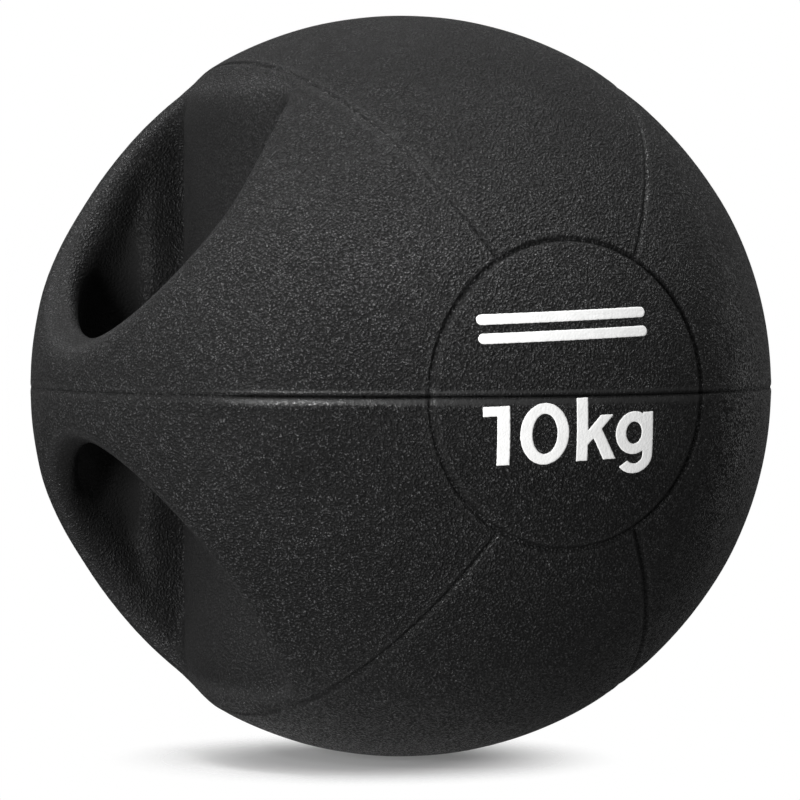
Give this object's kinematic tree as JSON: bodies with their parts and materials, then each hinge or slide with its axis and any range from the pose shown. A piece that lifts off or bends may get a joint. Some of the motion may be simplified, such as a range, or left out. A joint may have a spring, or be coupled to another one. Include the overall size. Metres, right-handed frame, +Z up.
{
  "type": "medicine ball",
  "caption": "Black textured rubber medicine ball with a hand grip moulded across a recess on each side, round front panel with weight marking, air bladder and valve inside.",
  "frame": {"origin": "centre of the ball", "axes": "+Z up with the moulding joint level in the XY plane; grip bars on -X and +X; marked panel faces -Y, valve in the rear panel on +Y"},
  "size_m": [0.275, 0.2752, 0.275],
  "materials": {
    "cover_rubber": "fine pebbled grain, satin",
    "ballast_rubber": "matte, metal-filled",
    "bladder_rubber": "smooth",
    "valve_rubber": "smooth",
    "core_rubber": "hard, matte",
    "white_ink": "printed ink, matte"
  },
  "bodies": {
    "root": {"upper_shell": "cover_rubber", "lower_shell": "cover_rubber", "upper_ballast": "ballast_rubber", "lower_ballast": "ballast_rubber", "bladder": "bladder_rubber", "valve_boot": "valve_rubber", "valve_core": "valve_rubber", "left_grip_core": "core_rubber", "right_grip_core": "core_rubber", "weight_mark": "white_ink", "badge_mark": "white_ink"}
  },
  "joints": []
}
